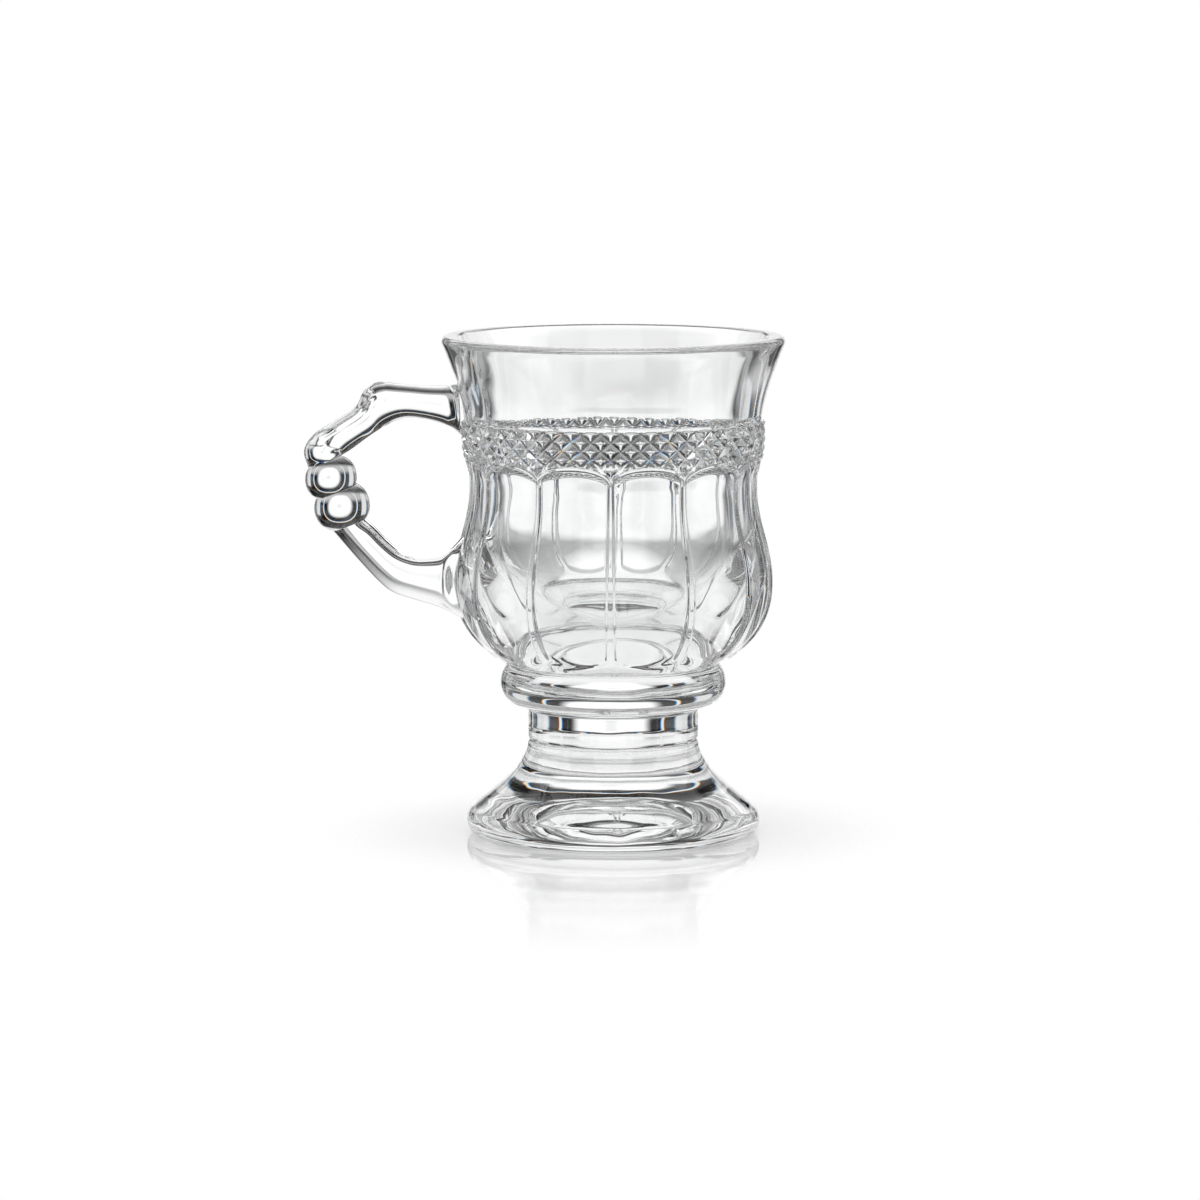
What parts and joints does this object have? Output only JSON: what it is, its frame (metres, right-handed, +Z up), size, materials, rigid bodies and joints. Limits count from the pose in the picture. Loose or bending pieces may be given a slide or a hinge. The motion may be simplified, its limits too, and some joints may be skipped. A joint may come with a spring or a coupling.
{
  "type": "footed tea glass",
  "caption": "Clear pressed tea glass on a flared foot, with an arched, fluted bowl under a band of diamonds, a flared lip and a beaded handle.",
  "frame": {"origin": "on the table, in the middle of the ring that the foot stands on", "axes": "+Z up along the axis of the glass, -X towards the handle, +Y away from the viewer of the picture"},
  "size_m": [0.0942, 0.0674, 0.098],
  "materials": {
    "clear_glass": "clear pressed soda-lime glass, fire polished"
  },
  "bodies": {
    "root": {"foot": "clear_glass", "stem": "clear_glass", "collar": "clear_glass", "bowl": "clear_glass", "handle_upper_arm": "clear_glass", "handle_upper_bead": "clear_glass", "handle_lower_bead": "clear_glass", "handle_lower_arm": "clear_glass"}
  },
  "joints": []
}
